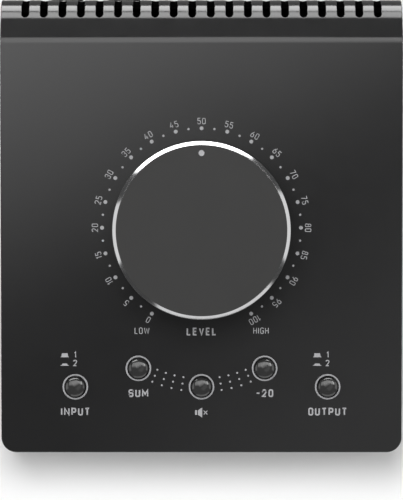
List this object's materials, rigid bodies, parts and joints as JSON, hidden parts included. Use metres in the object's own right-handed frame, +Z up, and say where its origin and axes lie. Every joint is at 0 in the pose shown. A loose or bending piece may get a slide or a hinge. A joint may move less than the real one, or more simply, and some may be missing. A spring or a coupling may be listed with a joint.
{
  "type": "studio monitor controller",
  "caption": "Wedge-shaped desktop audio controller with a large volume knob, push buttons, a slotted rear bend and a rear panel of jack sockets.",
  "frame": {"origin": "on the desk, below the middle of the part's box", "axes": "+Z up, +X to the user's right, +Y from the user towards the rear panel"},
  "size_m": [0.12, 0.1386, 0.0608],
  "materials": {
    "case_paint": "black powder coat, fine satin texture",
    "knob_metal": "dark anodised, turned satin",
    "bright_edge": "diamond-turned bright edge",
    "marking": "pale grey marking",
    "moulding": "black moulded plastic",
    "button_plastic": "black moulded, semi-gloss",
    "foot_rubber": "matt black rubber",
    "screw_steel": "black zinc-plated steel",
    "plated_metal": "nickel plate",
    "contact_metal": "tinned brass",
    "board_green": "glass-fibre board with green resist",
    "cable_grey": "grey flat cable"
  },
  "bodies": {
    "case": {"top_plate": "case_paint", "base_tray": "case_paint", "rear_panel": "case_paint", "rubber_feet": "foot_rubber", "corner_pillars": "plated_metal", "case_screws": "screw_steel", "rear_screws": "screw_steel", "input_jack_screws": "screw_steel", "board_screws": "screw_steel", "pot_body": "moulding", "pot_bushing": "plated_metal", "pot_washer": "plated_metal", "pot_nut": "plated_metal", "board_standoffs": "plated_metal", "pot_terminals": "contact_metal", "source_switch": "moulding", "mono_switch": "moulding", "mute_switch": "moulding", "dim_switch": "moulding", "monitor_switch": "moulding", "switch_pins": "contact_metal", "output_jack_pins": "contact_metal", "input_jack_pins": "contact_metal", "mini_jack_leads": "contact_metal", "control_board": "board_green", "jack_board": "board_green", "resistors": "moulding", "control_header": "moulding", "jack_header": "moulding", "ribbon_cable": "cable_grey", "output_jack_a_left": "moulding", "output_jack_a_right": "moulding", "output_jack_b_left": "moulding", "output_jack_b_right": "moulding", "output_jack_nuts": "plated_metal", "input_jack_left_housing": "moulding", "input_jack_left_insert": "moulding", "input_jack_right_housing": "moulding", "input_jack_right_insert": "moulding", "mini_jack": "moulding", "mini_jack_nut": "plated_metal"},
    "knob": {"knob_core": "moulding", "knob_cap": "knob_metal", "knob_rim": "bright_edge", "knob_pointer": "marking", "pot_shaft": "plated_metal"},
    "source_button_body": {"source_button": "button_plastic", "source_plunger": "moulding"},
    "mono_button_body": {"mono_button": "button_plastic", "mono_plunger": "moulding"},
    "mute_button_body": {"mute_button": "button_plastic", "mute_plunger": "moulding"},
    "dim_button_body": {"dim_button": "button_plastic", "dim_plunger": "moulding"},
    "monitor_button_body": {"monitor_button": "button_plastic", "monitor_plunger": "moulding"}
  },
  "joints": [
    {"name": "volume_turn", "type": "hinge", "parent": "case", "child": "knob", "pos_m": [0, -0.00295, 0.0377], "axis": [0, 0.1736, -0.9848], "range_deg": [-150, 150]},
    {"name": "source_press", "type": "slide", "parent": "case", "child": "source_button_body", "axis": [0, 0.1736, -0.9848], "range_m": [0, 0.0022], "stiffness_N_per_m": 300, "springref_m": -0.004},
    {"name": "mono_press", "type": "slide", "parent": "case", "child": "mono_button_body", "axis": [0, 0.1736, -0.9848], "range_m": [0, 0.0022], "stiffness_N_per_m": 300, "springref_m": -0.004},
    {"name": "mute_press", "type": "slide", "parent": "case", "child": "mute_button_body", "axis": [0, 0.1736, -0.9848], "range_m": [0, 0.0022], "stiffness_N_per_m": 300, "springref_m": -0.004},
    {"name": "dim_press", "type": "slide", "parent": "case", "child": "dim_button_body", "axis": [0, 0.1736, -0.9848], "range_m": [0, 0.0022], "stiffness_N_per_m": 300, "springref_m": -0.004},
    {"name": "monitor_press", "type": "slide", "parent": "case", "child": "monitor_button_body", "axis": [0, 0.1736, -0.9848], "range_m": [0, 0.0022], "stiffness_N_per_m": 300, "springref_m": -0.004}
  ]
}
